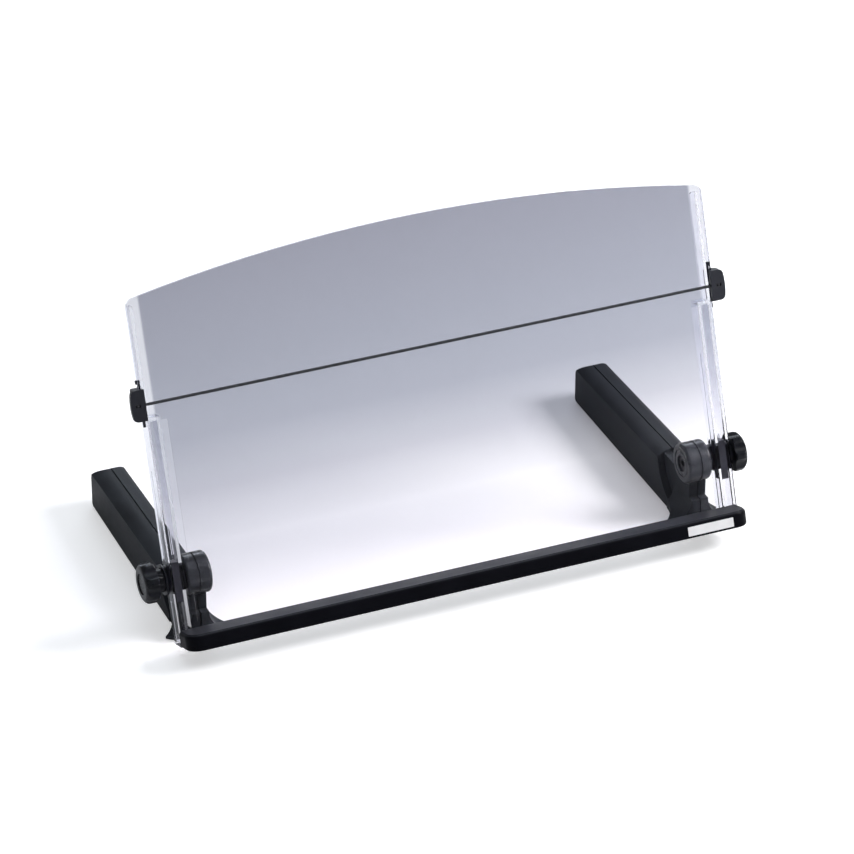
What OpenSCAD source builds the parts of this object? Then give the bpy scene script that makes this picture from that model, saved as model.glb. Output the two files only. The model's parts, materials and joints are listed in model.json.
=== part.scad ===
// Copy holder: a clear, tilted plate on two feet, with a ledge and a sliding line guide.
// X runs to the right, Y to the back and Z up from the desk. The origin is on the desk,
// at the middle of the area that the holder covers.

/* [Plate] */
// Width across the upper side edges
plate_w = 458; // [400:1:520]
// Height of the upper corners above the ledge
plate_side_h = 248; // [225:1:280]
// Rise of the arched top above the corners
arch_rise = 21; // [12:1:32]
// Radius of the upper corners
corner_r = 6; // [3:0.5:10]
// Thickness of the sheet
sheet_t = 3; // [2.6:0.1:4]
// Lean of the plate back from upright
plate_tilt = 20.5; // [16:0.5:25]
// Width of the lip beside the upper side walls
lip_w = 2.5; // [2:0.1:4]
// Depth of the upper side walls, from the front of the sheet
edge_wall_d = 13.5; // [11:0.5:14.5]

/* [Slide channels] */
// Depth of the channel walls, from the front of the sheet
channel_d = 15; // [13.5:0.5:18]
// Thickness of the outer walls
outer_wall_t = 2.4; // [2:0.1:3.2]
// Thickness of the inner walls and the channels' ends
inner_wall_t = 2.6; // [2:0.1:3.2]
// Clear width between the walls
channel_w = 5.8; // [5:0.1:8]
// Width of the thicker band beside each channel
band_w = 5.4; // [3:0.2:8]
// Height of that band behind the sheet
band_t = 0.4; // [0.2:0.1:0.5]
// Height of the channels above the ledge
channel_h = 157; // [145:1:170]
// Height up to which the retaining lips run
retainer_h = 118; // [100:1:125]
// Reach of each retaining lip into the channel
retainer_w = 0.7; // [0.5:0.1:1]
// Depth of each retaining lip
retainer_t = 1.6; // [1.2:0.1:2]

/* [Ledge] */
// Depth of the ledge in front of the sheet
ledge_d = 23.4; // [18:0.2:32]
// Height of the ledge
ledge_h = 12.6; // [11:0.2:15]
// Radius of the ledge's front corners
ledge_corner_r = 11; // [8:0.5:14]
// Radius of the ledge's upper edges
ledge_top_r = 3; // [1.5:0.1:3.6]
// Radius of the ledge's lower edges
ledge_foot_r = 1.6; // [1:0.1:3]
// Thickness of the ledge's top and back
ledge_wall = 2.4; // [1.8:0.1:3]
// Width of the rim round the hollow under the ledge
ledge_rim = 4.8; // [4.6:0.1:6]
// Number of stiffening ribs under the ledge
ledge_ribs = 11; // [9:1:15]
// Thickness of a rib
rib_t = 1.6; // [1.2:0.1:2.4]
// Number of screws that hold the ledge
ledge_screw_count = 4; // [3:1:6]

/* [Line guide] */
// Height of the line guide above the ledge
guide_v = 171; // [171:1:220]
// Diameter of the cord
cord_dia = 2.2; // [1.6:0.1:2.6]
// Height of a clip
clip_h = 23.4; // [20:0.2:28]
// Width of a clip outside the plate's edge
clip_out = 8.6; // [7.5:0.1:10]
// Bulge of a clip's outer edge
clip_bulge = 1.2; // [0.6:0.1:1.6]
// Reach of a clip's front jaw over the sheet
clip_in = 2.6; // [2.2:0.1:4]
// Depth of a clip behind the sheet's front
clip_back = 8; // [7.4:0.1:9.5]
// Height of a shoe
shoe_h = 35; // [32:0.5:40]

/* [Hinge] */
// Height of the hinge axis above the desk
hinge_h = 49.7; // [48:0.1:56]
// Height of the hinge axis above the ledge, along the plate
hinge_v = 35.6; // [28:0.1:38]
// Distance of the hinge axis behind the channel walls
axis_back = 4.5; // [4.2:0.1:6]
// Radius of the hinge bolt
bolt_r = 3; // [2.5:0.1:3.4]
// Height of a slider block
block_h = 30; // [26:0.5:34]
// Radius of the slider block's boss
boss_r = 10; // [8.5:0.5:12]
// Reach of the boss out of the channel towards the drum
boss_reach = 3; // [1.5:0.1:4]
// Radius of the hinge drum
drum_r = 15.8; // [14:0.1:16]
// Length of the drum inside the parting plane
drum_inner = 10.4; // [9:0.1:12]
// Length of the drum outside the parting plane
drum_outer = 9; // [8:0.1:11]
// Thickness of the washers
washer_t = 1; // [0.8:0.1:1.4]

/* [Knobs] */
// Radius of a knob's grip
knob_r = 15.4; // [13.5:0.1:17]
// Length of a knob
knob_len = 16.3; // [15:0.1:19]
// Length of the knob's grip
grip_len = 10.4; // [9:0.1:11]
// Radius of the knob's neck
neck_r = 9; // [8:0.1:10.5]
// Radius of the grip's rounded outer end
grip_round_r = 4.6; // [3:0.1:5.5]
// Number of finger flutes round the grip
flute_count = 7; // [5:1:9]
// Radius of a flute
flute_r = 8; // [6:0.1:9]
// Depth of a flute
flute_depth = 2.2; // [1.2:0.1:2.6]
// Turn of the left knob
left_knob_turn = 6; // [0:1:51]
// Turn of the right knob
right_knob_turn = 22; // [0:1:51]

/* [Feet] */
// Reach of the foot behind the hinge axis
foot_back = 190; // [165:1:220]
// Width of the foot bar
bar_w = 26.5; // [24:0.1:30]
// Offset of the bar to the outside of the parting plane
bar_offset = 0.9; // [0:0.1:1.5]
// Height of the bar's ridge near the hinge
bar_h = 40; // [37:0.1:42]
// Height of the bar's ridge at its back end
bar_back_h = 34; // [30:0.1:36]
// Radius of the bar's rounded top
crown_r = 21; // [18:0.5:34]
// Radius of the bar's shoulders
shoulder_r = 3; // [2:0.5:5]
// Radius of the bar's upper back corner
back_r = 10; // [6:0.5:14]
// Thickness of the foot shells
shell_t = 2.4; // [1.8:0.1:3]
// Width of the upright below the drum
upright_w = 13.6; // [12:0.1:16]
// Distance from the hinge axis to the upright's front
upright_front = 8.5; // [7:0.1:10]
// Width of the flared toe
toe_w = 49; // [44:0.5:54]
// Radius of the toe's flare
flare_r = 20; // [18:0.5:22]
// Width of the parting groove
groove_w = 1; // [0.6:0.1:1.4]
// Depth of the parting groove
groove_depth = 0.9; // [0.5:0.1:1.2]
// Radius of a rubber pad
pad_r = 7; // [5:0.5:8]
// Thickness of a rubber pad
pad_t = 2; // [1.6:0.1:2.6]
// Height of the shells above the desk
pad_proud = 0.8; // [0.5:0.1:1.2]

/* [Hidden] */
$fn = 96;

// Overrun of cuts
cut = 1;
// Gap between flat faces that slide on each other
slide_gap = 0.1;
// Gap between a slider block and the channel walls
block_gap = 0.15;
// Gap between a clip and the plate
clip_gap = 0.3;
// Running clearance of a shaft, on its radius
run_gap = 0.05;

// Places across the plate, from its middle to the right
edge_x = plate_w / 2;
wall_out_x = edge_x - lip_w;
wall_in_x = wall_out_x - outer_wall_t;
inner_out_x = wall_in_x - channel_w;
inner_in_x = inner_out_x - inner_wall_t;

// Stack on the hinge bolt, from the foot outwards
boss_in_x = inner_in_x - boss_reach;
boss_out_x = wall_out_x - 2 * slide_gap;
drum_out_x = boss_in_x - slide_gap;
washer_in_x = drum_out_x - washer_t;
foot_x = drum_out_x - drum_outer;
drum_in_x = foot_x - drum_inner;
drum_len = drum_inner + drum_outer;
knob_washer_x = wall_out_x + slide_gap;
knob_x = knob_washer_x + washer_t + slide_gap;

// Places of the hinge axis
hinge_d = channel_d + axis_back;
front_reach = (hinge_d + ledge_d - ledge_foot_r) * cos(plate_tilt)
    + (hinge_v + ledge_h - ledge_foot_r) * sin(plate_tilt) + ledge_foot_r;
hinge_y = (front_reach - foot_back) / 2;

// Arched top: radius of the arc and centres of the corner fillets
arch_r = (edge_x * edge_x + arch_rise * arch_rise) / (2 * arch_rise);
arch_v = plate_side_h + arch_rise - arch_r;
fillet_x = edge_x - corner_r;
fillet_v = arch_v + sqrt(pow(arch_r - corner_r, 2) - pow(fillet_x, 2));
arch_end_x = fillet_x * arch_r / (arch_r - corner_r);

// Side walls
edge_wall_drop = 5;
wall_corner_r = 5;
step_r = lip_w;

// Ledge
ledge_w = 2 * wall_out_x;
rib_pitch = ledge_w / (ledge_ribs + 1);
ledge_boss_r = 3.6;
ledge_boss_d = 10;
ledge_screw_r = 1.4;
ledge_screw_head_r = 3;
ledge_screw_head_t = 1.8;
ledge_screw_len = 9;
ledge_screw_inset = 36;
ledge_screw_gap = 0.3;

// Line guide
cord_r = cord_dia / 2;
cord_cover = 0.5;
cord_hole_gap = 0.15;
cord_d = -(clip_gap + cord_cover + cord_r);
jaw_t = 3.3;
jaw_d = -(clip_gap + jaw_t);
clip_corner_r = 4;
clip_edge_r = 1.4;
clip_taper = 4;
cord_hole_r = cord_r + cord_hole_gap;
knot_r = 1.7;
knot_pocket_r = 2;
knot_out = 3.4;
knot_x = edge_x + knot_out;
knot_eye_r = 1;
shoe_w = 1.8;
shoe_d = 1.5;
shoe_head_w = 2.9;
shoe_head_d = 2.3;
shoe_head_h = 2.8;

// Slider block
block_w = channel_w - 2 * block_gap;
block_neck_w = channel_w - 2 * retainer_w - 2 * block_gap;
block_front_d = sheet_t + block_gap;
block_head_d = channel_d - retainer_t - block_gap;
boss_front_d = channel_d + block_gap;

// Hinge drum and bolt
drum_edge_r = 2.5;
drum_ring_r = 11;
drum_ring_w = 1.2;
drum_ring_depth = 0.8;
head_r = 6.2;
head_t = 3.6;
head_pocket_r = 6.6;
head_pocket_depth = 5;
socket_r = 3;
socket_depth = 2;
friction_washer_inset = 0.5;
friction_washer_r = boss_r - friction_washer_inset;
knob_washer_r = 11.6;
bolt_end_inset = 3.2;
bolt_end_x = knob_x + knob_len - bolt_end_inset;

// Knob
grip_chamfer = 1;
flute_place_r = knob_r + flute_r - flute_depth;
knob_dish_r = 8;
knob_dish_depth = 0.8;
nut_r = 5;
nut_inset = 2;
nut_x = knob_x + nut_inset;
nut_len = 8;

// Feet
bar_front = 15;
scoop_r = 37.5;
scoop_z = 42;
bar_slope = atan((bar_h - bar_back_h) / (foot_back - scoop_r));
shoulder_lift = 0.4;
heel_r = 3;
back_rise = 0.8;
upright_inset = 1;
web_drop = 2.6;
web_overlap = 4;
toe_front = 14.5;
toe_t = 2.2;
toe_wing_s = -5;
toe_waist_s = 16;
toe_front_r = 36;
flare_z = pad_proud + toe_t + flare_r;
dowel_r = 2;
dowel_boss_r = 4;
dowel_len = 6;
dowel_place_shares = [0.32, 0.6, 0.88];
pad_inset = 16;
front_pad_s = -5;
pad_places_s = [front_pad_s, foot_back - pad_inset];

// Carries the plate's own frame (x, depth behind the sheet's front, height above the ledge)
module in_plate() {
    translate([0, hinge_y, hinge_h]) rotate([-plate_tilt, 0, 0])
        translate([0, -hinge_d, -hinge_v]) children();
}

// Carries the foot's own frame (x, distance behind the hinge axis, height above the desk)
module in_foot() {
    translate([0, hinge_y, 0]) children();
}

// Carries the hinge frame, with Z along the bolt from the middle of the holder to the right
module on_bolt(x) {
    translate([x, hinge_y, hinge_h]) rotate([0, 90, 0]) children();
}

module on_left() {
    mirror([1, 0, 0]) children();
}

module on_both() {
    children();
    mirror([1, 0, 0]) children();
}

// Extrudes an (x, height) outline from one depth to another
module slab(d0, d1) {
    translate([0, d1, 0]) rotate([90, 0, 0]) linear_extrude(d1 - d0) children();
}

// Extrudes a (depth, height) outline from one x to another
module rail(x0, x1) {
    translate([x0, 0, 0]) rotate([90, 0, 90]) linear_extrude(x1 - x0) children();
}

module bar_2d(x0, x1, y0, y1) {
    translate([x0, y0]) square([x1 - x0, y1 - y0]);
}

module block_3d(x0, x1, y0, y1, z0, z1) {
    translate([x0, y0, z0]) cube([x1 - x0, y1 - y0, z1 - z0]);
}

// Outline of the sheet: arched top with filleted corners, narrower below the step
module sheet_outline() {
    intersection() {
        translate([0, arch_v]) circle(r = arch_r, $fn = 720);
        bar_2d(-arch_end_x, arch_end_x, channel_h, plate_side_h + arch_rise + cut);
    }
    bar_2d(-edge_x, edge_x, channel_h + step_r, fillet_v);
    bar_2d(-wall_out_x, wall_out_x, -ledge_h, fillet_v);
    on_both() {
        translate([fillet_x, fillet_v]) circle(r = corner_r);
        difference() {
            bar_2d(wall_out_x - cut, edge_x, channel_h, channel_h + 2 * step_r);
            translate([edge_x, channel_h]) circle(r = step_r);
        }
    }
}

// Side view of the outer wall, deeper along the channel than above it
module outer_wall_outline() {
    top = plate_side_h - edge_wall_drop;
    bar_2d(0, channel_d, -ledge_h, channel_h + inner_wall_t);
    bar_2d(0, edge_wall_d, 0, top - wall_corner_r);
    bar_2d(0, edge_wall_d - wall_corner_r, 0, top);
    translate([edge_wall_d - wall_corner_r, top - wall_corner_r]) circle(r = wall_corner_r);
}

module channel_walls() {
    rail(wall_in_x, wall_out_x) outer_wall_outline();
    rail(inner_in_x, inner_out_x) bar_2d(0, channel_d, -ledge_h, channel_h + inner_wall_t);
    block_3d(inner_in_x, wall_out_x, 0, channel_d, channel_h, channel_h + inner_wall_t);
    block_3d(inner_in_x, wall_out_x, 0, channel_d, -ledge_h, inner_wall_t - ledge_h);
    block_3d(inner_in_x - band_w, inner_in_x, 0, sheet_t + band_t, -ledge_h, channel_h);
    for (x = [inner_out_x, wall_in_x - retainer_w])
        block_3d(x, x + retainer_w, channel_d - retainer_t, channel_d, -ledge_h, retainer_h);
}

function ledge_screw_x(i) =
    (i / (ledge_screw_count - 1) - 0.5) * (ledge_w - 2 * ledge_screw_inset);

module document_plate() {
    color([0.82, 0.86, 0.9, 0.4])
    in_plate() difference() {
        union() {
            slab(0, sheet_t) sheet_outline();
            on_both() channel_walls();
        }
        for (i = [0 : ledge_screw_count - 1])
            translate([ledge_screw_x(i), sheet_t + cut, -ledge_h / 2]) rotate([90, 0, 0])
                cylinder(r = ledge_screw_r + ledge_screw_gap, h = sheet_t + 2 * cut, $fn = 32);
    }
}

// Section of the ledge's front or end, from a place inside it out to its edge
module ledge_section(reach) {
    bar_2d(0, reach, ledge_foot_r - ledge_h, -ledge_top_r);
    bar_2d(0, reach - ledge_top_r, ledge_foot_r - ledge_h, 0);
    bar_2d(0, reach - ledge_foot_r, -ledge_h, 0);
    translate([reach - ledge_top_r, -ledge_top_r]) circle(r = ledge_top_r, $fn = 64);
    translate([reach - ledge_foot_r, ledge_foot_r - ledge_h]) circle(r = ledge_foot_r, $fn = 64);
}

module ledge_body() {
    corner_x = wall_out_x - ledge_corner_r;
    corner_d = ledge_corner_r - ledge_d;
    translate([-corner_x, 0, 0]) rotate([90, 0, 90]) linear_extrude(2 * corner_x)
        mirror([1, 0]) ledge_section(ledge_d);
    on_both() {
        translate([corner_x, 0, 0]) rotate([90, 0, 0]) linear_extrude(-corner_d)
            ledge_section(ledge_corner_r);
        translate([corner_x, corner_d, 0]) rotate([0, 0, -90]) rotate_extrude(angle = 90)
            ledge_section(ledge_corner_r);
    }
}

// Plan of the hollow under the ledge
module ledge_hollow() {
    x = wall_out_x - ledge_rim;
    r = ledge_corner_r - ledge_rim;
    bar_2d(-x + r, x - r, ledge_rim - ledge_d, -ledge_wall);
    bar_2d(-x, x, ledge_rim - ledge_d + r, -ledge_wall);
    on_both() translate([x - r, ledge_rim - ledge_d + r]) circle(r = r);
}

module ledge() {
    color([0.09, 0.09, 0.1])
    in_plate() difference() {
        ledge_body();
        difference() {
            translate([0, 0, -ledge_h - cut]) linear_extrude(ledge_h - ledge_wall + cut) ledge_hollow();
            for (i = [1 : ledge_ribs])
                block_3d(-wall_out_x + i * rib_pitch - rib_t / 2, -wall_out_x + i * rib_pitch + rib_t / 2,
                    -ledge_d, 0, -ledge_h, 0);
            for (i = [0 : ledge_screw_count - 1])
                translate([ledge_screw_x(i), 0, -ledge_h / 2]) rotate([90, 0, 0])
                    cylinder(r = ledge_boss_r, h = ledge_boss_d, $fn = 48);
        }
        for (i = [0 : ledge_screw_count - 1])
            translate([ledge_screw_x(i), cut, -ledge_h / 2]) rotate([90, 0, 0])
                cylinder(r = ledge_screw_r + run_gap, h = ledge_screw_len + cut, $fn = 32);
    }
}

module ledge_screws() {
    color([0.72, 0.73, 0.75])
    in_plate() for (i = [0 : ledge_screw_count - 1])
        translate([ledge_screw_x(i), sheet_t, -ledge_h / 2]) rotate([90, 0, 0]) {
            cylinder(r = ledge_screw_r, h = ledge_screw_len, $fn = 32);
            translate([0, 0, -ledge_screw_head_t]) difference() {
                cylinder(r = ledge_screw_head_r, h = ledge_screw_head_t, $fn = 48);
                translate([0, 0, -cut])
                    cylinder(r = ledge_screw_r, h = cut + ledge_screw_head_t / 2, $fn = 6);
            }
        }
}

module guide_cord() {
    color([0.13, 0.13, 0.15])
    in_plate() translate([0, cord_d, guide_v]) {
        translate([-knot_x, 0, 0]) rotate([0, 90, 0]) cylinder(r = cord_r, h = 2 * knot_x, $fn = 32);
        on_both() translate([knot_x, 0, 0]) sphere(r = knot_r, $fn = 32);
    }
}

// Front view of a clip's face: straight inside, bulged outside
module clip_face() {
    out_x = edge_x + clip_out;
    h = clip_h / 2;
    r = clip_corner_r;
    bulge_r = (h * h + clip_bulge * clip_bulge) / (2 * clip_bulge);
    corner_x = out_x - bulge_r + sqrt(pow(bulge_r - r, 2) - pow(h - r, 2));
    bar_2d(edge_x - clip_in, corner_x, -h, h);
    for (z = [-1, 1])
        translate([corner_x, z * (h - r)]) circle(r = r, $fn = 48);
    intersection() {
        translate([out_x - bulge_r, 0]) circle(r = bulge_r, $fn = 360);
        bar_2d(edge_x, out_x, r - h, h - r);
    }
}

// Plan of a clip's body, its outer side drawn in towards the back
module clip_plan() {
    front_x = edge_x + clip_out - clip_bulge;
    r = clip_edge_r;
    polygon([
        [wall_out_x + clip_gap, -clip_gap],
        [front_x, -clip_gap],
        [front_x - clip_taper + r, clip_back - r],
        [front_x - clip_taper, clip_back],
        [wall_out_x + clip_gap, clip_back],
    ]);
}

module clip_form() {
    slab(jaw_d, -clip_gap) clip_face();
    intersection() {
        translate([0, 0, -clip_h / 2]) linear_extrude(clip_h) clip_plan();
        slab(-clip_gap, clip_back) {
            h = clip_h / 2;
            bar_2d(wall_out_x, edge_x + clip_out, clip_edge_r - h, h - clip_edge_r);
            bar_2d(wall_out_x, edge_x + clip_out - 2 * clip_edge_r, -h, h);
        }
    }
}

module guide_clip() {
    color([0.1, 0.1, 0.11])
    in_plate() translate([0, 0, guide_v]) difference() {
        clip_form();
        block_3d(wall_out_x, edge_x + clip_gap, -clip_gap, sheet_t + clip_gap, -clip_h, clip_h);
        block_3d(wall_out_x, wall_out_x + clip_gap + shoe_w,
            sheet_t, sheet_t + clip_gap + shoe_d, -clip_h, clip_h);
        translate([edge_x - clip_in - cut, cord_d, 0]) rotate([0, 90, 0])
            cylinder(r = cord_hole_r, h = clip_in + cut + knot_x - edge_x, $fn = 32);
        translate([knot_x - knot_pocket_r, cord_d, 0]) rotate([0, 90, 0])
            cylinder(r = knot_pocket_r, h = 2 * knot_pocket_r, $fn = 32);
        translate([knot_x, cord_d, 0]) rotate([90, 0, 0]) cylinder(r = knot_eye_r, h = jaw_t, $fn = 32);
    }
}

module guide_shoe() {
    x = wall_out_x + clip_gap;
    d = sheet_t + clip_gap;
    color([0.13, 0.13, 0.14])
    in_plate() translate([0, 0, guide_v]) {
        block_3d(x, x + shoe_w, d, d + shoe_d, -shoe_h / 2, shoe_h / 2);
        block_3d(x, x + shoe_head_w, d, d + shoe_head_d, shoe_h / 2 - shoe_head_h, shoe_h / 2);
    }
}

// Block that fills the channel, and a round boss cut flat where it lies behind the channel's walls
module slider_block() {
    mid_x = (inner_out_x + wall_in_x) / 2;
    color([0.1, 0.1, 0.11])
    difference() {
        union() {
            in_plate() translate([0, 0, hinge_v]) {
                block_3d(mid_x - block_w / 2, mid_x + block_w / 2, block_front_d, block_head_d,
                    -block_h / 2, block_h / 2);
                block_3d(mid_x - block_neck_w / 2, mid_x + block_neck_w / 2, block_front_d, hinge_d,
                    -block_h / 2 + boss_r / 2, block_h / 2 - boss_r / 2);
            }
            difference() {
                on_bolt(boss_in_x) cylinder(r = boss_r, h = boss_out_x - boss_in_x);
                in_plate() block_3d(inner_in_x - 2 * slide_gap, boss_out_x + cut,
                    hinge_d - 2 * boss_r, boss_front_d, hinge_v - 2 * boss_r, hinge_v + 2 * boss_r);
            }
        }
        on_bolt(boss_in_x - cut)
            cylinder(r = bolt_r + run_gap, h = boss_out_x - boss_in_x + 2 * cut, $fn = 64);
    }
}

module ring(x, outer, inner, h) {
    on_bolt(x) difference() {
        cylinder(r = outer, h = h);
        translate([0, 0, -cut]) cylinder(r = inner, h = h + 2 * cut, $fn = 64);
    }
}

module friction_washer() {
    color([0.3, 0.28, 0.26]) ring(washer_in_x, friction_washer_r, bolt_r + run_gap, washer_t);
}

module knob_washer() {
    color([0.12, 0.12, 0.13]) ring(knob_washer_x, knob_washer_r, bolt_r + run_gap, washer_t);
}

module hinge_bolt() {
    head_x = drum_in_x + head_pocket_depth - head_t;
    color([0.62, 0.63, 0.65])
    on_bolt(head_x) difference() {
        union() {
            cylinder(r = head_r, h = head_t);
            cylinder(r = bolt_r, h = bolt_end_x - head_x, $fn = 64);
        }
        translate([0, 0, -cut]) cylinder(r = socket_r, h = socket_depth + cut, $fn = 6);
    }
}

// Half section of a knob: radius across, distance from its inner face up
module knob_profile() {
    grip_z = knob_len - grip_len;
    r = grip_round_r;
    polygon([
        [0, 0],
        [neck_r, 0],
        [neck_r, grip_z],
        [knob_r - grip_chamfer, grip_z],
        [knob_r, grip_z + grip_chamfer],
        [knob_r, knob_len - r],
        [knob_r - r, knob_len],
        [0, knob_len],
    ]);
    translate([knob_r - r, knob_len - r]) circle(r = r, $fn = 64);
}

module knob(turn) {
    color([0.11, 0.11, 0.12])
    on_bolt(knob_x) difference() {
        rotate_extrude() knob_profile();
        for (i = [0 : flute_count - 1])
            rotate([0, 0, turn + i * 360 / flute_count]) translate([flute_place_r, 0, -cut])
                cylinder(r = flute_r, h = knob_len + 2 * cut, $fn = 64);
        translate([0, 0, knob_len - knob_dish_depth]) cylinder(r = knob_dish_r, h = knob_dish_depth + cut);
        translate([0, 0, -cut]) cylinder(r = nut_r, h = nut_x + nut_len - knob_x + cut, $fn = 6);
        cylinder(r = bolt_r + 2 * run_gap, h = bolt_end_x - knob_x + slide_gap, $fn = 64);
    }
}

module knob_nut() {
    color([0.78, 0.62, 0.32])
    on_bolt(nut_x) difference() {
        cylinder(r = nut_r, h = nut_len, $fn = 6);
        translate([0, 0, -cut]) cylinder(r = bolt_r + run_gap, h = nut_len + 2 * cut, $fn = 64);
    }
}

// What a corner loses when it is rounded, the centre of the rounding at the origin
module corner_waste(r) {
    difference() {
        square(r + cut);
        circle(r = r);
    }
}

// Drop of the bar's rounded top below its ridge, at a distance from the bar's middle
function crown_drop(x) = crown_r - sqrt(crown_r * crown_r - x * x);

// Cross-section of the bar about its middle, with rounded shoulders, up to the ridge
module bar_section() {
    half = bar_w / 2;
    r = shoulder_r;
    shoulder_z = shoulder_lift - crown_drop(half - r) - r;
    difference() {
        bar_2d(-half, half, -2 * bar_h, 0);
        for (side = [0, 1])
            mirror([side, 0]) translate([half - r, shoulder_z]) corner_waste(r);
        difference() {
            bar_2d(-half - cut, half + cut, -crown_r, cut);
            translate([0, -crown_r]) circle(r = crown_r, $fn = 180);
        }
    }
}

// The bar's crowned form, its ridge falling towards the back
module bar_crown() {
    translate([foot_x + bar_offset, scoop_r, bar_h]) rotate([-bar_slope, 0, 0])
        slab(-foot_back / 2, foot_back) bar_section();
}

// Side view of the bar: round heel, round upper back corner, scooped front
module bar_side(inset) {
    back = foot_back - inset;
    floor_z = pad_proud + inset;
    difference() {
        bar_2d(bar_front, back, floor_z, bar_h + cut);
        translate([back - heel_r, floor_z + heel_r]) mirror([0, 1]) corner_waste(heel_r);
        translate([back - back_r, bar_back_h + back_rise - back_r - inset]) {
            corner_waste(back_r);
            bar_2d(0, back_r + cut, back_r, bar_h);
        }
        translate([0, scoop_z]) circle(r = scoop_r + inset);
    }
}

module foot_bar() {
    intersection() {
        bar_crown();
        rail(foot_x - bar_w, foot_x + bar_w) bar_side(0);
    }
}

// Side view of the upright
module upright_side(inset) {
    translate([0, hinge_h]) circle(r = drum_r - upright_inset - inset);
    bar_2d(inset - upright_front, scoop_r + web_overlap, pad_proud + inset, bar_h - web_drop - inset);
    bar_2d(inset - upright_front, upright_front, pad_proud + inset, hinge_h);
}

// Narrow upright between the bar and the drum
module foot_upright() {
    half = upright_w / 2;
    rail(foot_x - half, foot_x + half) upright_side(0);
}

// Front view of the flare: concave sides down to a thin toe
module flare_front() {
    half = upright_w / 2;
    difference() {
        bar_2d(-toe_w / 2, toe_w / 2, pad_proud, flare_z);
        for (side = [-1, 1])
            translate([side * (half + flare_r), flare_z]) circle(r = flare_r);
        for (side = [-1, 1])
            translate([side * (half + flare_r) - flare_r * (1 - side) / 2, pad_proud + toe_t])
                square([flare_r, flare_r + cut]);
    }
}

// Plan of the toe: a curved front, and wings that run back into the sides of the bar
module toe_plan() {
    half = toe_w / 2;
    wing = half - bar_w / 2;
    run = toe_waist_s - toe_wing_s;
    sweep = (run * run + wing * wing) / (2 * wing);
    difference() {
        intersection() {
            bar_2d(-half, half, -toe_front, toe_waist_s);
            translate([0, toe_front_r - toe_front]) circle(r = toe_front_r, $fn = 180);
        }
        for (side = [-1, 1])
            translate([side * (bar_w / 2 + sweep), toe_waist_s]) circle(r = sweep, $fn = 180);
    }
}

module foot_toe() {
    translate([foot_x, 0, 0]) intersection() {
        translate([0, toe_waist_s, 0]) rotate([90, 0, 0])
            linear_extrude(toe_waist_s + toe_front) flare_front();
        linear_extrude(flare_z + cut) toe_plan();
    }
}

// Hinge drum with rounded ends
module foot_drum() {
    r = drum_edge_r;
    translate([drum_in_x, 0, hinge_h]) rotate([0, 90, 0]) rotate_extrude() {
        bar_2d(0, drum_r - r, 0, drum_len);
        bar_2d(0, drum_r, r, drum_len - r);
        for (z = [r, drum_len - r])
            translate([drum_r - r, z]) circle(r = r, $fn = 32);
    }
}

// Both shells of a foot as one form
module foot_form() {
    foot_bar();
    foot_upright();
    foot_toe();
    foot_drum();
}

// Side view of the foot at the parting plane, drawn in to the floor of the groove
module parting_side() {
    inset = groove_depth;
    intersection() {
        bar_side(inset);
        translate([scoop_r, bar_h - inset]) rotate(-bar_slope)
            bar_2d(-foot_back / 2, foot_back, -2 * bar_h, 0);
    }
    upright_side(inset);
    bar_2d(inset - toe_front, 0, pad_proud + inset, pad_proud + toe_t);
    translate([0, hinge_h]) circle(r = drum_r - inset);
}

// Everything cut from a foot: bolt hole, head pocket, washer seat, drum ring, pad seats
module foot_cuts() {
    translate([drum_in_x - cut, 0, hinge_h]) rotate([0, 90, 0]) {
        cylinder(r = bolt_r + run_gap, h = drum_len + 2 * cut, $fn = 64);
        cylinder(r = head_pocket_r, h = head_pocket_depth + cut);
        difference() {
            cylinder(r = drum_ring_r, h = drum_ring_depth + cut);
            cylinder(r = drum_ring_r - drum_ring_w, h = drum_ring_depth + cut);
        }
    }
    translate([washer_in_x, 0, hinge_h]) rotate([0, 90, 0])
        cylinder(r = friction_washer_r + run_gap, h = washer_t + cut);
    for (s = pad_places_s)
        translate([foot_x, s, 0]) cylinder(r = pad_r, h = pad_t, $fn = 64);
}

// Space inside the bar, between two planes across it
module foot_hollow(x0, x1) {
    rail(x0, x1) intersection() {
        bar_side(shell_t);
        bar_2d(bar_front, foot_back, 0, bar_back_h - crown_drop(bar_w / 2) - shell_t);
    }
}

// Places of the dowels that line the two shells up
module at_dowels() {
    for (share = dowel_place_shares)
        translate([0, share * foot_back, bar_back_h / 2]) children();
}

module foot_inner_shell() {
    bar_in_x = foot_x + bar_offset - bar_w / 2;
    color([0.11, 0.11, 0.12])
    in_foot() difference() {
        union() {
            intersection() {
                foot_form();
                block_3d(0, foot_x - groove_w / 2, -foot_back, 2 * foot_back, 0, 2 * hinge_h);
            }
            rail(foot_x - groove_w / 2, foot_x) parting_side();
        }
        foot_cuts();
        difference() {
            foot_hollow(bar_in_x + shell_t, foot_x + cut);
            at_dowels() translate([bar_in_x, 0, 0]) rotate([0, 90, 0])
                cylinder(r = dowel_boss_r, h = foot_x - bar_in_x, $fn = 48);
        }
        at_dowels() translate([foot_x - dowel_len - cut, 0, 0]) rotate([0, 90, 0])
            cylinder(r = dowel_r + run_gap, h = dowel_len + 2 * cut, $fn = 48);
    }
}

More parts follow.
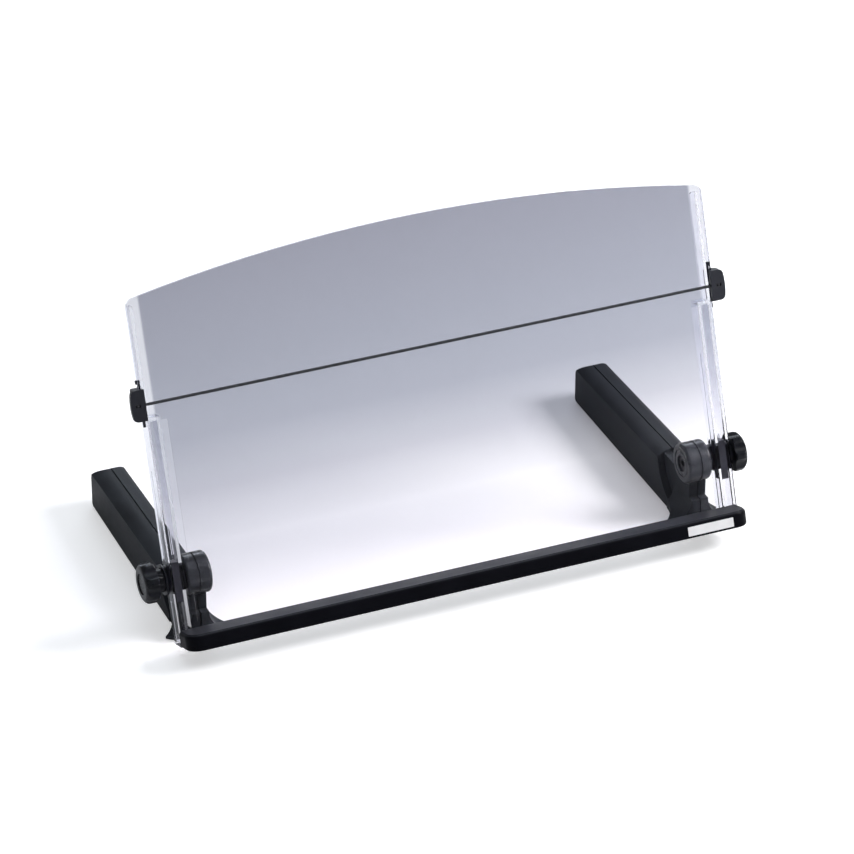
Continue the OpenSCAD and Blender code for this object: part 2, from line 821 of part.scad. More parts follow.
module foot_outer_shell() {
    bar_out_x = foot_x + bar_offset + bar_w / 2;
    color([0.11, 0.11, 0.12])
    in_foot() {
        difference() {
            union() {
                intersection() {
                    foot_form();
                    block_3d(foot_x + groove_w / 2, 2 * foot_x, -foot_back, 2 * foot_back, 0, 2 * hinge_h);
                }
                rail(foot_x, foot_x + groove_w / 2) parting_side();
            }
            foot_cuts();
            difference() {
                foot_hollow(foot_x - cut, bar_out_x - shell_t);
                at_dowels() translate([foot_x, 0, 0]) rotate([0, 90, 0])
                    cylinder(r = dowel_boss_r, h = bar_out_x - foot_x, $fn = 48);
            }
        }
        at_dowels() translate([foot_x - dowel_len, 0, 0]) rotate([0, 90, 0])
            cylinder(r = dowel_r, h = 2 * dowel_len, $fn = 48);
    }
}

module foot_pads() {
    color([0.2, 0.2, 0.21])
    in_foot() for (s = pad_places_s)
        translate([foot_x, s, 0]) cylinder(r = pad_r, h = pad_t, $fn = 64);
}

document_plate();
ledge();
ledge_screws();
guide_cord();
on_left() guide_clip();  // left_guide_clip
guide_clip();  // right_guide_clip
on_left() guide_shoe();  // left_guide_shoe
guide_shoe();  // right_guide_shoe
on_left() slider_block();  // left_slider_block
slider_block();  // right_slider_block
on_left() friction_washer();  // left_friction_washer
friction_washer();  // right_friction_washer
on_left() hinge_bolt();  // left_hinge_bolt
hinge_bolt();  // right_hinge_bolt
on_left() knob_washer();  // left_knob_washer
knob_washer();  // right_knob_washer
on_left() knob(left_knob_turn);  // left_knob
knob(right_knob_turn);  // right_knob
on_left() knob_nut();  // left_knob_nut
knob_nut();  // right_knob_nut
on_left() foot_inner_shell();  // left_foot_inner_shell
foot_inner_shell();  // right_foot_inner_shell
on_left() foot_outer_shell();  // left_foot_outer_shell
foot_outer_shell();  // right_foot_outer_shell
on_left() foot_pads();  // left_foot_pads
foot_pads();  // right_foot_pads
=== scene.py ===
"""Looks of the copy holder: a clear tilted plate on two feet, with a ledge and a cord line guide.

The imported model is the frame. Its nodes keep their shapes and get their finishes here, and the blank
label that the model leaves out is made here. Lengths are in metres, in the frame's own axes.
"""

import json
from functools import reduce
from math import cos, pi, radians, sin

import bmesh
import bpy
from bpy.props import FloatProperty, FloatVectorProperty, PointerProperty
from mathutils import Matrix, Vector


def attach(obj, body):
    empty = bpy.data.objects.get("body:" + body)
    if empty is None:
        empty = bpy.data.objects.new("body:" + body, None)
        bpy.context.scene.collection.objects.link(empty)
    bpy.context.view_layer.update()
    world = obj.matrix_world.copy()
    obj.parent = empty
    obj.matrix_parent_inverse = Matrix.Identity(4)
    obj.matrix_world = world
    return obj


bl_info = {
    "name": "Copy Holder",
    "version": (1, 0, 0),
    "blender": (4, 5, 0),
    "location": "View3D > Sidebar > Copy Holder",
    "description": "Finishes and the blank label of a copy holder with a line guide",
    "category": "Object",
}

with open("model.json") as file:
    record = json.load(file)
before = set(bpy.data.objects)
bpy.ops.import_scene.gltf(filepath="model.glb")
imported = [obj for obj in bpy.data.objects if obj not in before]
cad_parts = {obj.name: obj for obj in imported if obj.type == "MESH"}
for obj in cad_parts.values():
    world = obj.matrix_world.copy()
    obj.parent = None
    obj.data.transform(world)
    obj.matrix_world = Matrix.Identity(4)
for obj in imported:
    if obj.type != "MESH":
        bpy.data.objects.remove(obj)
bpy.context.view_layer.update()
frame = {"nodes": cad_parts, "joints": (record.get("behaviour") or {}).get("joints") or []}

# The hinge axis and the plate's own directions
JOINTS = {joint["name"]: joint for joint in frame["joints"]}
HINGE = Vector(JOINTS["tilt"]["pos_m"])
PLATE_UP = Vector(JOINTS["height"]["axis"]).normalized()
PLATE_BACK = Vector((0.0, PLATE_UP.z, -PLATE_UP.y))

# Place of the hinge axis behind the sheet's front and above the ledge
HINGE_DEPTH = 0.0195
HINGE_HEIGHT = 0.0356
LEDGE_TOP = Vector((0.0, HINGE.y, HINGE.z)) - PLATE_BACK * HINGE_DEPTH - PLATE_UP * HINGE_HEIGHT

# The ledge's depth in front of the sheet, how far the label's middle lies below the ledge's top,
# the radius of the label's corners, and the points round each corner
LEDGE_DEPTH = 0.0234
LABEL_DROP = 0.0070
LABEL_CORNER = 0.0005
CORNER_STEPS = 5

# Radius round the hinge axis within which the feet are polished, and the width of its soft rim
DRUM_RADIUS = 0.0165
DRUM_RIM = 0.001

# Radius of the cord, and edge radii of the pieces that are finer or rounder than the rest
CORD_RADIUS = 0.0011
FINE_EDGE = 0.0002
KNOB_EDGE = 0.0006

# Painted shade on the clear sheet: tints between its foot and its top that darken it upwards, each at a
# share of the height given first
SHADE_HEIGHT = 0.27
SHEET_SHADE_STEPS = (
    (0.22, (0.93, 0.912, 0.945)),
    (0.37, (0.590, 0.588, 0.646)),
    (0.52, (0.415, 0.426, 0.486)),
    (0.70, (0.368, 0.378, 0.437)),
)
WALL_TINT = (0.90, 0.905, 0.955)
# Painted reflection: the pale tint of the two strips in front of the upper side walls, and how much of it
# they take
STRIP_REFLECTION_TINT = (0.97, 0.97, 1.0)
STRIP_REFLECTION_SHARE = 0.55
SHEET_IOR = 1.16

# Where the walls, the strips of painted reflection and their lower ends begin, and where each change is
# complete
WALL_START = (0.0030, 0.0040)
STRIP_START = (0.2185, 0.2200)
STRIP_FOOT = (0.157, 0.162)

# The floor's half width, the distances between which it fades to white, and its glow by the ray
# that meets it, where 1 is white
FLOOR_REACH = 4.0
FLOOR_FADE = (0.7, 2.2)
FLOOR_NEAR = 0.45
FLOOR_FAR = 1.0
FLOOR_THROUGH = 0.21
FLOOR_MIRRORED = 0.05

ROOM_COLOUR = (0.97, 0.98, 1.0, 1.0)

# Lamps: name, place, point it faces, size, property that holds its power, colour
LAMPS = (
    ("main_light", (1.75, -0.6, 1.35), (0.0, 0.0, 0.05), (0.8, 0.8), "key_power", (1.0, 0.99, 0.98)),
    ("top_light", (0.1, -0.5, 2.2), (0.0, 0.0, 0.05), (2.0, 1.6), "top_power", (0.86, 0.93, 1.0)),
    ("back_light", (0.8, 2.1, 1.35), (0.0, 0.0, 0.05), (1.8, 0.8), "back_power", (0.84, 0.92, 1.0)),
    ("fill_light", (-1.6, -1.4, 0.9), (0.0, 0.0, 0.1), (1.2, 0.9), "fill_power", (0.88, 0.94, 1.0)),
)

# The camera's angles and distance, its focal length in pixels, the middle of the picture, and the
# pixel where the desk below the middle of the ledge's top falls
CAMERA_TURN = radians(-22.86)
CAMERA_RISE = radians(31.45)
CAMERA_ROLL = radians(0.18)
CAMERA_DISTANCE = 3.31228
FOCAL_PIXELS = 4417.01
PICTURE_MIDDLE = 427.0
LEDGE_PIXEL = (463.77, 591.96)
SENSOR_WIDTH = 36.0
CLIP_END = 50.0


def on_plate(x, depth, height):
    """The point at x, so far behind the sheet's front and so far above the ledge."""
    return Vector((x, 0.0, 0.0)) + LEDGE_TOP + PLATE_BACK * depth + PLATE_UP * height


# Sizes and colours


class HolderSizes(bpy.types.PropertyGroup):
    label_width: FloatProperty(
        name="Label width",
        description="Width of the blank label on the ledge",
        default=0.038,
        unit="LENGTH",
    )
    label_height: FloatProperty(
        name="Label height",
        description="Height of the blank label on the ledge",
        default=0.0072,
        unit="LENGTH",
    )
    label_thickness: FloatProperty(
        name="Label thickness",
        description="Thickness of the blank label",
        default=0.00012,
        unit="LENGTH",
    )
    label_middle: FloatProperty(
        name="Label place",
        description="Distance of the label from the middle of the ledge",
        default=0.193,
        unit="LENGTH",
    )
    edge_softness: FloatProperty(
        name="Edge softness",
        description="Radius at which moulded edges catch the light",
        default=0.0005,
        unit="LENGTH",
    )
    grain_size: FloatProperty(
        name="Grain size",
        description="Size of the moulded grain",
        default=0.00045,
        unit="LENGTH",
    )


class HolderColours(bpy.types.PropertyGroup):
    plastic: FloatVectorProperty(
        name="Moulded plastic",
        description="Colour of the clips, shoes, slider blocks and washers",
        subtype="COLOR",
        default=(0.0118, 0.0128, 0.0195),
    )
    foot: FloatVectorProperty(
        name="Feet",
        description="Colour of the feet",
        subtype="COLOR",
        default=(0.0290, 0.0318, 0.0372),
    )
    knob: FloatVectorProperty(
        name="Knob",
        description="Colour of the knobs",
        subtype="COLOR",
        default=(0.0048, 0.0054, 0.0080),
    )
    ledge: FloatVectorProperty(
        name="Ledge",
        description="Colour of the ledge",
        subtype="COLOR",
        default=(0.0040, 0.0042, 0.0062),
    )
    # painted light: the paler colour painted on the ledge's top stands in for the light from above
    ledge_top_painted_light: FloatVectorProperty(
        name="Top of the ledge",
        description="Colour of the ledge's worn top",
        subtype="COLOR",
        default=(0.043, 0.044, 0.054),
    )
    # painted shade: the sheet is tinted darker towards its top, from the pale tint at its foot
    sheet_top_shade: FloatVectorProperty(
        name="Top of the sheet",
        description="Tint of the clear sheet at its top",
        subtype="COLOR",
        default=(0.315, 0.318, 0.373),
    )
    sheet_foot: FloatVectorProperty(
        name="Foot of the sheet",
        description="Tint of the clear sheet at the ledge",
        subtype="COLOR",
        default=(0.97, 0.950, 0.97),
    )
    cord: FloatVectorProperty(
        name="Cord",
        description="Colour of the line guide's cord",
        subtype="COLOR",
        default=(0.008, 0.009, 0.014),
    )
    label: FloatVectorProperty(
        name="Label",
        description="Colour of the blank label",
        subtype="COLOR",
        default=(0.76, 0.76, 0.77),
    )
    steel: FloatVectorProperty(
        name="Steel",
        description="Colour of the ledge's screws",
        subtype="COLOR",
        default=(0.52, 0.53, 0.55),
    )
    bolt: FloatVectorProperty(
        name="Bolts",
        description="Colour of the blackened hinge bolts",
        subtype="COLOR",
        default=(0.045, 0.045, 0.05),
    )
    fibre: FloatVectorProperty(
        name="Friction washers",
        description="Colour of the fibre washers in the hinges",
        subtype="COLOR",
        default=(0.12, 0.09, 0.06),
    )
    brass: FloatVectorProperty(
        name="Brass",
        description="Colour of the nuts in the knobs",
        subtype="COLOR",
        default=(0.66, 0.45, 0.17),
    )
    rubber: FloatVectorProperty(
        name="Rubber",
        description="Colour of the pads under the feet",
        subtype="COLOR",
        default=(0.07, 0.07, 0.075),
    )
    floor: FloatVectorProperty(
        name="Floor",
        description="Colour of the floor",
        subtype="COLOR",
        default=(0.82, 0.82, 0.83),
    )


class HolderStage(bpy.types.PropertyGroup):
    focal_length: FloatProperty(
        name="Focal length",
        description="Focal length of the camera on a 36 mm sensor",
        default=186.2,
        subtype="DISTANCE_CAMERA",
    )
    key_power: FloatProperty(
        name="Main light",
        description="Power of the light from the right",
        default=50.0,
        unit="POWER",
    )
    top_power: FloatProperty(
        name="Top light",
        description="Power of the wide light overhead",
        default=12.6,
        unit="POWER",
    )
    back_power: FloatProperty(
        name="Back light",
        description="Power of the light that skims over the tops",
        default=19.8,
        unit="POWER",
    )
    fill_power: FloatProperty(
        name="Fill light",
        description="Power of the light in front",
        default=0.9,
        unit="POWER",
    )
    world_light: FloatProperty(
        name="Room light",
        description="Strength of the light from all round",
        default=0.25,
    )


# Finishes


class Finish:
    """A procedural material on Object coordinates, with short calls for its nodes."""

    def __init__(self, name):
        self.material = bpy.data.materials.new(name)
        self.material.use_nodes = True
        self.tree = self.material.node_tree
        self.shader = self.tree.nodes["Principled BSDF"]
        self.output = self.tree.nodes["Material Output"]
        self.coordinates = self.tree.nodes.new("ShaderNodeTexCoord")
        self.place = self.coordinates.outputs["Object"]

    def node(self, kind, links=None, **values):
        made = self.tree.nodes.new(kind)
        for key, value in values.items():
            setattr(made, key, value)
        for key, value in (links or {}).items():
            self.feed(made.inputs[key], value)
        return made

    def feed(self, socket, value):
        if isinstance(value, bpy.types.NodeSocket):
            self.tree.links.new(value, socket)
        else:
            socket.default_value = value

    def set(self, **values):
        for key, value in values.items():
            self.feed(self.shader.inputs[key.replace("_", " ").title()], value)

    def sheen(self, value):
        self.feed(self.shader.inputs["Specular IOR Level"], value)

    def noise(self, size, detail=2.0, roughness=0.5):
        """Noise whose blotches are about as large as size."""
        return self.node(
            "ShaderNodeTexNoise",
            {"Vector": self.place, "Scale": 1.0 / size, "Detail": detail, "Roughness": roughness},
        ).outputs["Fac"]

    def spread(self, value, low, high, from_low=0.0, from_high=1.0, steps="LINEAR"):
        """Maps a value from its range to low and high, and holds it at both ends."""
        return self.node(
            "ShaderNodeMapRange",
            {"Value": value, "From Min": from_low, "From Max": from_high, "To Min": low, "To Max": high},
            interpolation_type=steps,
        ).outputs["Result"]

    def sum(self, kind, *values):
        made = self.node("ShaderNodeMath", operation=kind)
        for i, value in enumerate(values):
            self.feed(made.inputs[i], value)
        return made.outputs[0]

    def vector(self, kind, *values):
        return self.node("ShaderNodeVectorMath", dict(enumerate(values)), operation=kind).outputs

    def along(self, direction):
        """How far a point lies along a direction."""
        return self.vector("DOT_PRODUCT", self.place, tuple(direction))["Value"]

    def facing(self, direction):
        """How far a face looks along a direction, from minus one to one."""
        return self.vector("DOT_PRODUCT", self.coordinates.outputs["Normal"], tuple(direction))["Value"]

    def near_hinge(self, radius):
        """One within a radius round the hinge axis, and zero outside."""
        from_axis = self.vector("SUBTRACT", self.place, tuple(HINGE))[0]
        flat = self.vector("MULTIPLY", from_axis, (0.0, 1.0, 1.0))[0]
        return self.spread(self.vector("LENGTH", flat)["Value"], 1.0, 0.0, radius, radius + DRUM_RIM)

    def mix(self, share, a, b):
        made = self.node("ShaderNodeMix", data_type="RGBA")
        self.feed(made.inputs[0], share)
        self.feed(made.inputs[6], a)
        self.feed(made.inputs[7], b)
        return made.outputs[2]

    def bump(self, height, depth, strength=1.0, normal=None):
        """Depth is the height of the relief in metres."""
        links = {"Height": height, "Distance": depth, "Strength": strength}
        if normal is not None:
            links["Normal"] = normal
        return self.node("ShaderNodeBump", links).outputs["Normal"]

    def soft_edges(self, radius):
        return self.node("ShaderNodeBevel", {"Radius": radius}, samples=6).outputs["Normal"]


def rgba(colour, factor=1.0):
    return (colour[0] * factor, colour[1] * factor, colour[2] * factor, 1.0)


def moulded(name, colour, grain, depth, rough, edge, sheen=0.4, painted_top_light=None, drum=None):
    """Moulded plastic: fine grain, cloudy gloss, edges that catch the light.

    Depth is the height of the grain. The paler colour given for the top is painted light: faces
    that look up along the plate are painted lighter in uneven patches, standing in for the light
    from above. Drum is the radius round the hinge within which the plastic is polished.
    """
    finish = Finish(name)
    cloud = finish.noise(0.03, detail=3.0)
    fine = finish.noise(grain, detail=3.0, roughness=0.6)
    scuff = finish.noise(0.004, detail=4.0, roughness=0.7)
    patches = finish.spread(cloud, 0.0, 1.0, 0.35, 0.65)
    base = finish.mix(patches, rgba(colour, 0.85), rgba(colour, 1.2))
    wear = finish.sum("ADD", cloud, finish.sum("MULTIPLY", scuff, 0.5))
    matt = finish.spread(wear, rough - 0.07, rough + 0.09, 0.45, 1.0)
    finish.sheen(sheen)
    # painted light: faces that look up along the plate get a paler colour, standing in for light from
    # above
    if painted_top_light:
        top_light_facing = finish.spread(finish.facing(PLATE_UP), 0.0, 1.0, 0.5, 0.95)
        cover = finish.sum("MULTIPLY", top_light_facing, finish.spread(scuff, 0.7, 1.0))
        base = finish.mix(cover, base, rgba(painted_top_light))
        # level faces shine more than the rest
        level = finish.spread(finish.facing((0.0, 0.0, 1.0)), 0.0, 1.0, 0.955, 0.995)
        finish.sheen(finish.spread(level, sheen, 0.45))
    if drum:
        polish = finish.near_hinge(drum)
        matt = finish.sum("SUBTRACT", matt, finish.sum("MULTIPLY", polish, 0.18))
        fine = finish.sum("MULTIPLY", fine, finish.spread(polish, 1.0, 0.15))
        finish.sheen(finish.spread(polish, sheen, 0.3))
    normal = finish.bump(fine, depth, 1.0, finish.soft_edges(edge))
    finish.set(base_color=base, roughness=matt, normal=normal)
    return finish.material


def metal(name, colour, rough, edge):
    """Plated or turned metal with faint tool marks."""
    finish = Finish(name)
    marks = finish.noise(0.0008, detail=4.0, roughness=0.6)
    stain = finish.spread(finish.noise(0.006, detail=3.0), 0.0, 1.0, 0.3, 0.7)
    finish.set(
        metallic=1.0,
        base_color=finish.mix(stain, rgba(colour, 0.82), rgba(colour, 1.1)),
        roughness=finish.spread(marks, rough - 0.06, rough + 0.1, 0.3, 0.7),
        normal=finish.bump(marks, 0.00001, 0.5, finish.soft_edges(edge)),
    )
    return finish.material


def sheet_painted_shade(finish, colours):
    """Painted shade on the sheet, darker with the height above the ledge, with its two strips of painted
    reflection.
    """
    up = finish.sum("SUBTRACT", finish.along(PLATE_UP), LEDGE_TOP.dot(PLATE_UP))
    ramp = finish.node("ShaderNodeValToRGB", {"Fac": finish.sum("DIVIDE", up, SHADE_HEIGHT)})
    steps = [(0.0, colours.sheet_foot), *SHEET_SHADE_STEPS, (1.0, colours.sheet_top_shade)]
    band = ramp.color_ramp
    while len(band.elements) < len(steps):
        band.elements.new(0.5)
    for element, (place, colour) in zip(band.elements, steps):
        element.position = place
        element.color = rgba(colour)
    # painted reflection: the sheet is paler in front of the upper side walls
    across = finish.sum("ABSOLUTE", finish.along((1.0, 0.0, 0.0)))
    reflection_across = finish.spread(across, 0.0, STRIP_REFLECTION_SHARE, *STRIP_START)
    above = finish.spread(up, 0.0, 1.0, *STRIP_FOOT)
    return finish.mix(finish.sum("MULTIPLY", reflection_across, above), ramp.outputs["Color"], rgba(STRIP_REFLECTION_TINT))


def clear_sheet(colours):
    """Clear plastic with painted shade that darkens it towards its top, and polished edges and walls that
    keep a pale tint.
    """
    finish = Finish("clear_plate")
    painted_light_tint = sheet_painted_shade(finish, colours)
    # the walls and edges stand behind the sheet or face sideways
    back = finish.sum("SUBTRACT", finish.along(PLATE_BACK), LEDGE_TOP.dot(PLATE_BACK))
    wall = finish.spread(back, 0.0, 1.0, *WALL_START)
    rim = finish.spread(finish.sum("ABSOLUTE", finish.facing(PLATE_BACK)), 1.0, 0.0, 0.2, 0.7)
    edge = finish.sum("MAXIMUM", wall, rim)
    smudge = finish.spread(finish.noise(0.05, detail=3.0), 0.0, 0.035, 0.45, 0.75)
    waves = finish.noise(0.02, detail=1.0)
    finish.set(
        base_color=finish.mix(edge, painted_light_tint, rgba(WALL_TINT)),
        roughness=finish.sum("ADD", smudge, finish.sum("MULTIPLY", edge, 0.05)),
        normal=finish.bump(waves, 0.00002, 0.35),
    )
    finish.shader.inputs["IOR"].default_value = SHEET_IOR
    finish.shader.inputs["Transmission Weight"].default_value = 1.0
    # lamps light what lies behind the sheet through a part of its tint
    passed = finish.mix(0.35, painted_light_tint, (1.0, 1.0, 1.0, 1.0))
    see = finish.node("ShaderNodeBsdfTransparent", {"Color": passed})
    light = finish.node("ShaderNodeLightPath")
    blend = finish.node("ShaderNodeMixShader")
    finish.tree.links.new(light.outputs["Is Shadow Ray"], blend.inputs[0])
    finish.tree.links.new(finish.shader.outputs[0], blend.inputs[1])
    finish.tree.links.new(see.outputs[0], blend.inputs[2])
    finish.tree.links.new(blend.outputs[0], finish.output.inputs["Surface"])
    return finish.material


def braided(name, colour, radius):
    """Fine braid round a cord that runs along X."""
    finish = Finish(name)
    wave = finish.node(
        "ShaderNodeTexWave",
        {"Vector": finish.place, "Scale": 420.0, "Distortion": 1.5, "Detail": 1.0, "Detail Scale": 3.0},
        bands_direction="X",
    ).outputs["Fac"]
    fuzz = finish.noise(0.0004, detail=3.0)
    threads = finish.sum("MULTIPLY", wave, 0.6)
    finish.set(
        base_color=finish.mix(threads, rgba(colour, 0.7), rgba(colour, 1.9)),
        roughness=finish.spread(fuzz, 0.55, 0.8),
        normal=finish.bump(finish.sum("ADD", wave, fuzz), radius * 0.12, 0.8),
    )
    return finish.material


def blank_label(colour):
    """Matt white label, faintly mottled."""
    finish = Finish("blank_label")
    fibre = finish.noise(0.0005, detail=4.0, roughness=0.7)
    cloud = finish.spread(finish.noise(0.012, detail=2.0), 0.0, 1.0, 0.3, 0.7)
    finish.set(
        base_color=finish.mix(cloud, rgba(colour, 0.93), rgba(colour, 1.03)),
        roughness=finish.spread(fibre, 0.34, 0.5),
        normal=finish.bump(fibre, 0.000012, 0.5),
    )
    return finish.material


def soft_rubber(colour):
    """Matt rubber with a fine grain and soft edges."""
    finish = Finish("pad_rubber")
    grain = finish.noise(0.0007, detail=3.0)
    cloud = finish.noise(0.004, detail=2.0)
    finish.set(
        base_color=finish.mix(cloud, rgba(colour, 0.8), rgba(colour, 1.25)),
        roughness=finish.spread(grain, 0.68, 0.85),
        normal=finish.bump(grain, 0.00006, 0.9, finish.soft_edges(0.0004)),
    )
    return finish.material


def pale_floor(colour):
    """Floor that keeps shadows, and that fades to white far from the object for the camera."""
    finish = Finish("floor")
    finish.tree.nodes.remove(finish.shader)
    shade = finish.noise(0.4, detail=2.0)
    cover = finish.node(
        "ShaderNodeBsdfDiffuse", {"Color": finish.mix(shade, rgba(colour, 0.985), rgba(colour, 1.01))}
    )
    glow = finish.node("ShaderNodeEmission", {"Color": (1.0, 1.0, 1.0, 1.0)})
    path = finish.node("ShaderNodeLightPath")
    away = finish.vector("LENGTH", finish.place)["Value"]
    seen = finish.spread(away, FLOOR_NEAR, FLOOR_FAR, *FLOOR_FADE, "SMOOTHSTEP")
    rays = (
        ("Is Camera Ray", seen),
        ("Is Transmission Ray", FLOOR_THROUGH),
        ("Is Glossy Ray", FLOOR_MIRRORED),
    )
    shares = (finish.sum("MULTIPLY", path.outputs[ray], share) for ray, share in rays)
    finish.feed(glow.inputs["Strength"], reduce(lambda a, b: finish.sum("MAXIMUM", a, b), shares))
    lit = finish.node("ShaderNodeAddShader", {0: cover.outputs[0], 1: glow.outputs[0]})
    finish.tree.links.new(lit.outputs[0], finish.output.inputs["Surface"])
    return finish.material


def dress(material, *nodes):
    """Gives CAD nodes a material."""
    for name in nodes:
        mesh = frame["nodes"][name].data
        mesh.materials.clear()
        mesh.materials.append(material)


def both(stem):
    return "left_" + stem, "right_" + stem


def new_object(name, mesh, material):
    """Makes an object of a finished bmesh."""
    data = bpy.data.meshes.new(name)
    mesh.to_mesh(data)
    mesh.free()
    data.materials.append(material)
    thing = bpy.data.objects.new(name, data)
    bpy.context.scene.collection.objects.link(thing)
    return thing


def add_piece(name, mesh, material, body):
    """Adds a finished bmesh as a piece that rides on a body."""
    piece = new_object(name, mesh, material)
    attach(piece, body)


# Operators


class HOLDER_OT_stage(bpy.types.Operator):
    """Make the floor, the lights, the room and the camera"""

    bl_idname = "holder.stage"
    bl_label = "Stage"

    def execute(self, context):
        scene = context.scene
        scene.view_settings.view_transform = "Standard"
        self.make_floor(scene)
        self.make_room(scene)
        self.make_lamps(scene)
        self.make_camera(scene)
        return {"FINISHED"}

    def make_floor(self, scene):
        mesh = bmesh.new()
        bmesh.ops.create_grid(mesh, x_segments=1, y_segments=1, size=FLOOR_REACH)
        floor = new_object("floor", mesh, pale_floor(scene.holder_colours.floor))

    def make_room(self, scene):
        """A room that looks white to the camera and lights the object softly."""
        world = bpy.data.worlds.new("room")
        world.use_nodes = True
        scene.world = world
        tree = world.node_tree
        back = tree.nodes["Background"]
        back.inputs["Color"].default_value = ROOM_COLOUR
        path = tree.nodes.new("ShaderNodeLightPath")
        pick = tree.nodes.new("ShaderNodeMapRange")
        pick.inputs["To Min"].default_value = scene.holder_stage.world_light
        pick.inputs["To Max"].default_value = 1.0
        tree.links.new(path.outputs["Is Camera Ray"], pick.inputs["Value"])
        tree.links.new(pick.outputs["Result"], back.inputs["Strength"])

    def make_lamps(self, scene):
        for name, place, aim, size, power, colour in LAMPS:
            lamp = bpy.data.lights.new(name, "AREA")
            lamp.shape = "RECTANGLE"
            lamp.size, lamp.size_y = size
            lamp.energy = getattr(scene.holder_stage, power)
            lamp.color = colour
            thing = bpy.data.objects.new(name, lamp)
            thing.location = place
            thing.rotation_euler = (Vector(aim) - Vector(place)).to_track_quat("-Z", "Y").to_euler()
            scene.collection.objects.link(thing)

    def make_camera(self, scene):
        camera = bpy.data.cameras.new("camera")
        camera.lens = scene.holder_stage.focal_length
        camera.sensor_width = SENSOR_WIDTH
        camera.clip_end = CLIP_END
        camera.dof.use_dof = False
        flat, rise = cos(CAMERA_RISE), sin(CAMERA_RISE)
        back = Vector((sin(CAMERA_TURN) * flat, -cos(CAMERA_TURN) * flat, rise))
        level = Vector((cos(CAMERA_TURN), sin(CAMERA_TURN), 0.0))
        above = back.cross(level)
        right = level * cos(CAMERA_ROLL) + above * sin(CAMERA_ROLL)
        up = above * cos(CAMERA_ROLL) - level * sin(CAMERA_ROLL)
        across = (LEDGE_PIXEL[0] - PICTURE_MIDDLE) / FOCAL_PIXELS
        down = (LEDGE_PIXEL[1] - PICTURE_MIDDLE) / FOCAL_PIXELS
        below_ledge = Vector((0.0, LEDGE_TOP.y, 0.0))
        place = below_ledge - (right * across - up * down - back) * CAMERA_DISTANCE
        eye = bpy.data.objects.new("camera", camera)
        eye.matrix_world = Matrix.Translation(place) @ Matrix((right, up, back)).transposed().to_4x4()
        scene.collection.objects.link(eye)
        scene.camera = eye


class HOLDER_OT_plate(bpy.types.Operator):
    """Finish the clear plate with its side walls and slide channels"""

    bl_idname = "holder.plate"
    bl_label = "Clear plate"

    def execute(self, context):
        dress(clear_sheet(context.scene.holder_colours), "document_plate")
        return {"FINISHED"}


class HOLDER_OT_ledge(bpy.types.Operator):
    """Finish the ledge and its screws, and put the blank label on its front"""

    bl_idname = "holder.ledge"
    bl_label = "Ledge"

    def execute(self, context):
        sizes, colours = context.scene.holder_sizes, context.scene.holder_colours
        # the ledge's top gets a paler colour, painted light from above
        ledge = moulded(
            "ledge_black",
            colours.ledge,
            sizes.grain_size,
            depth=0.00001,
            rough=0.34,
            edge=sizes.edge_softness,
            sheen=0.03,
            painted_top_light=colours.ledge_top_painted_light,
        )
        dress(ledge, "ledge")
        dress(metal("screw_steel", colours.steel, rough=0.3, edge=FINE_EDGE), "ledge_screws")

        # the blank label: a thin plate with round corners, on the ledge's front
        middle = on_plate(sizes.label_middle, -LEDGE_DEPTH, -LABEL_DROP)
        out = sizes.label_width / 2 - LABEL_CORNER
        high = sizes.label_height / 2 - LABEL_CORNER
        mesh = bmesh.new()
        ring = []
        for turn, (side, rise) in enumerate(((out, high), (-out, high), (-out, -high), (out, -high))):
            for step in range(CORNER_STEPS):
                angle = pi / 2 * (turn + step / (CORNER_STEPS - 1))
                across = Vector((side + LABEL_CORNER * cos(angle), 0.0, 0.0))
                place = across + PLATE_UP * (rise + LABEL_CORNER * sin(angle))
                ring.append(mesh.verts.new(middle + place))
        grown = bmesh.ops.extrude_face_region(mesh, geom=[mesh.faces.new(ring)])
        front = [item for item in grown["geom"] if isinstance(item, bmesh.types.BMVert)]
        bmesh.ops.translate(mesh, verts=front, vec=PLATE_BACK * -sizes.label_thickness)
        bmesh.ops.recalc_face_normals(mesh, faces=mesh.faces)
        add_piece("blank_label", mesh, blank_label(colours.label), "plate")
        return {"FINISHED"}


class HOLDER_OT_line_guide(bpy.types.Operator):
    """Finish the line guide's clips, shoes and cord"""

    bl_idname = "holder.line_guide"
    bl_label = "Line guide"

    def execute(self, context):
        sizes, colours = context.scene.holder_sizes, context.scene.holder_colours
        grain, edge = sizes.grain_size, sizes.edge_softness
        clip = moulded("clip_black", colours.plastic, grain, depth=0.00002, rough=0.4, edge=edge)
        dress(clip, *both("guide_clip"))
        shoe = moulded("shoe_black", colours.plastic, grain, depth=0.00002, rough=0.42, edge=edge)
        dress(shoe, *both("guide_shoe"))
        dress(braided("cord_dark", colours.cord, CORD_RADIUS), "guide_cord")
        return {"FINISHED"}


class HOLDER_OT_hinges(bpy.types.Operator):
    """Finish the slider blocks, washers and hinge bolts"""

    bl_idname = "holder.hinges"
    bl_label = "Hinges"

    def execute(self, context):
        sizes, colours = context.scene.holder_sizes, context.scene.holder_colours
        grain, edge = sizes.grain_size, sizes.edge_softness
        block = moulded("block_black", colours.plastic, grain, depth=0.00002, rough=0.42, edge=edge)
        dress(block, *both("slider_block"))
        washer = moulded("washer_black", colours.plastic, grain, depth=0.00001, rough=0.3, edge=FINE_EDGE)
        dress(washer, *both("knob_washer"))
        fibre = moulded("washer_fibre", colours.fibre, 0.0004, depth=0.00003, rough=0.7, edge=FINE_EDGE)
        dress(fibre, *both("friction_washer"))
        dress(metal("bolt_steel", colours.bolt, rough=0.35, edge=0.0003), *both("hinge_bolt"))
        return {"FINISHED"}


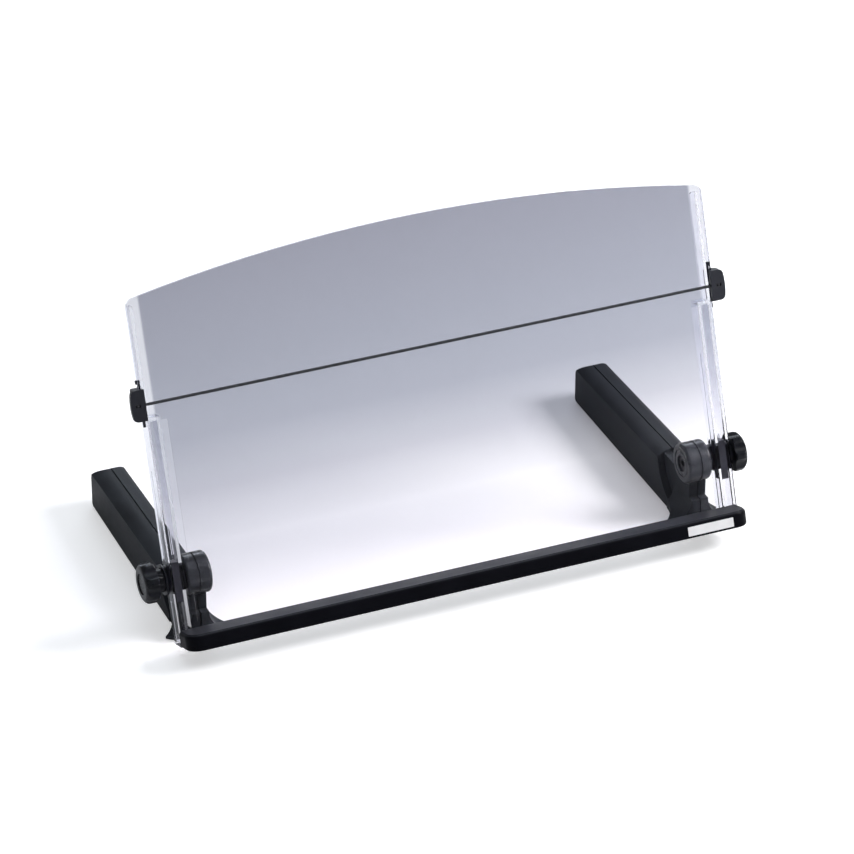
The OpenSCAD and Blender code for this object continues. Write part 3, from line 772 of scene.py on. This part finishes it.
class HOLDER_OT_knobs(bpy.types.Operator):
    """Finish the fluted knobs and their nuts"""

    bl_idname = "holder.knobs"
    bl_label = "Knobs"

    def execute(self, context):
        sizes, colours = context.scene.holder_sizes, context.scene.holder_colours
        glossy = moulded(
            "knob_black",
            colours.knob,
            sizes.grain_size,
            depth=0.000008,
            rough=0.24,
            edge=KNOB_EDGE,
            sheen=0.22,
        )
        dress(glossy, *both("knob"))
        dress(metal("nut_brass", colours.brass, rough=0.3, edge=FINE_EDGE), *both("knob_nut"))
        return {"FINISHED"}


class HOLDER_OT_feet(bpy.types.Operator):
    """Finish the shells of both feet and their rubber pads"""

    bl_idname = "holder.feet"
    bl_label = "Feet"

    def execute(self, context):
        sizes, colours = context.scene.holder_sizes, context.scene.holder_colours
        shell = moulded(
            "foot_black",
            colours.foot,
            sizes.grain_size,
            depth=0.00005,
            rough=0.42,
            edge=0.0005,
            sheen=0.06,
            drum=DRUM_RADIUS,
        )
        dress(shell, *both("foot_inner_shell"), *both("foot_outer_shell"))
        dress(soft_rubber(colours.rubber), *both("foot_pads"))
        return {"FINISHED"}


STEPS = (
    HOLDER_OT_stage,
    HOLDER_OT_plate,
    HOLDER_OT_ledge,
    HOLDER_OT_line_guide,
    HOLDER_OT_hinges,
    HOLDER_OT_knobs,
    HOLDER_OT_feet,
)


class HOLDER_PT_panel(bpy.types.Panel):
    bl_idname = "HOLDER_PT_panel"
    bl_label = "Copy Holder"
    bl_space_type = "VIEW_3D"
    bl_region_type = "UI"
    bl_category = "Copy Holder"

    def draw(self, context):
        layout = self.layout
        for step in STEPS:
            layout.operator(step.bl_idname)
        for group in (
            context.scene.holder_sizes,
            context.scene.holder_colours,
            context.scene.holder_stage,
        ):
            box = layout.box()
            for name in group.__annotations__:
                box.prop(group, name)


GROUPS = {"holder_sizes": HolderSizes, "holder_colours": HolderColours, "holder_stage": HolderStage}


def register():
    for group in GROUPS.values():
        bpy.utils.register_class(group)
    for name, group in GROUPS.items():
        setattr(bpy.types.Scene, name, PointerProperty(type=group))
    for step in STEPS:
        bpy.utils.register_class(step)
    bpy.utils.register_class(HOLDER_PT_panel)


def unregister():
    bpy.utils.unregister_class(HOLDER_PT_panel)
    for step in reversed(STEPS):
        bpy.utils.unregister_class(step)
    for name, group in GROUPS.items():
        delattr(bpy.types.Scene, name)
        bpy.utils.unregister_class(group)


def main():
    register()
    for step in STEPS:
        area, name = step.bl_idname.split(".")
        getattr(getattr(bpy.ops, area), name)()


if __name__ == "__main__":
    main()
